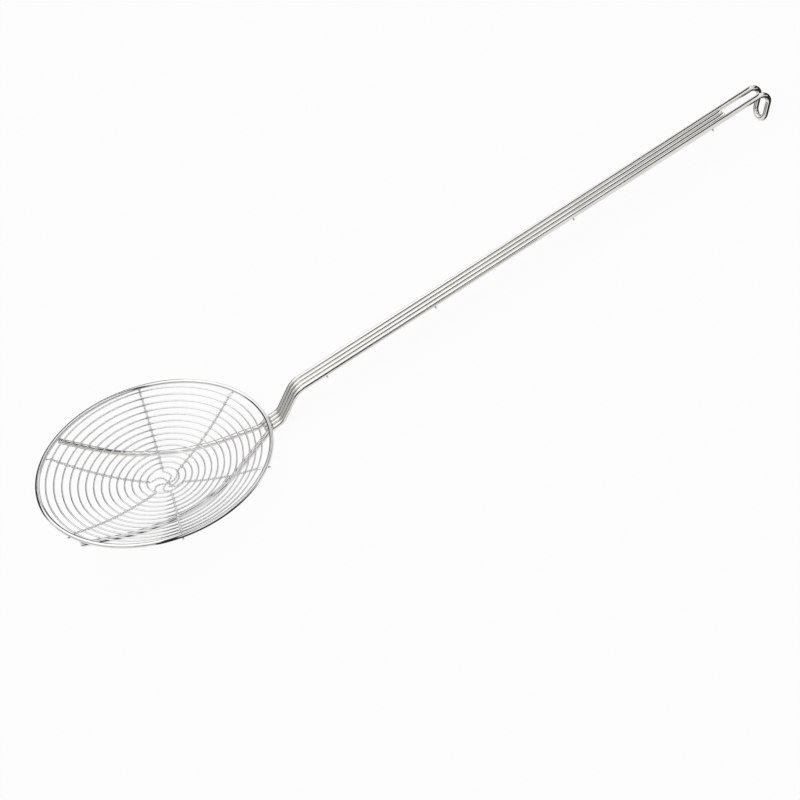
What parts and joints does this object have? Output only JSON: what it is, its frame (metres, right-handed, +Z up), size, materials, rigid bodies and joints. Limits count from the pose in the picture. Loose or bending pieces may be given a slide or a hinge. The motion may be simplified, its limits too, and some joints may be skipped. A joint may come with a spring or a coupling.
{
  "type": "spider skimmer",
  "caption": "Long-handled wire spider skimmer: a round shallow basket of spiral wire and twisted spokes on a handle of parallel welded rods that ends in a hanging hook.",
  "frame": {"origin": "middle of the base: centre of the box that holds the skimmer, at table height", "axes": "+X along the handle from the bowl to the hook, +Z up off the table with the bowl's mouth up, +Y to the left when looking along +X"},
  "size_m": [0.6888, 0.2068, 0.0714],
  "materials": {
    "handle_wire": "polished drawn stainless steel rod",
    "rim_wire": "polished stainless steel wire",
    "mesh_wire": "bright fine stainless steel wire",
    "spoke_wire": "bright fine stainless steel wire",
    "tie_wire": "stainless steel wire, spot welded"
  },
  "bodies": {
    "root": {"rim_ring": "rim_wire", "mesh_spiral": "mesh_wire", "handle_outer_wire": "handle_wire", "inner_rod_left": "handle_wire", "inner_rod_right": "handle_wire", "spoke_wire_1a": "spoke_wire", "spoke_wire_1b": "spoke_wire", "spoke_wire_2a": "spoke_wire", "spoke_wire_2b": "spoke_wire", "spoke_wire_3a": "spoke_wire", "spoke_wire_3b": "spoke_wire", "cross_tie_1": "tie_wire", "cross_tie_2": "tie_wire", "cross_tie_3": "tie_wire", "cross_tie_4": "tie_wire"}
  },
  "joints": []
}
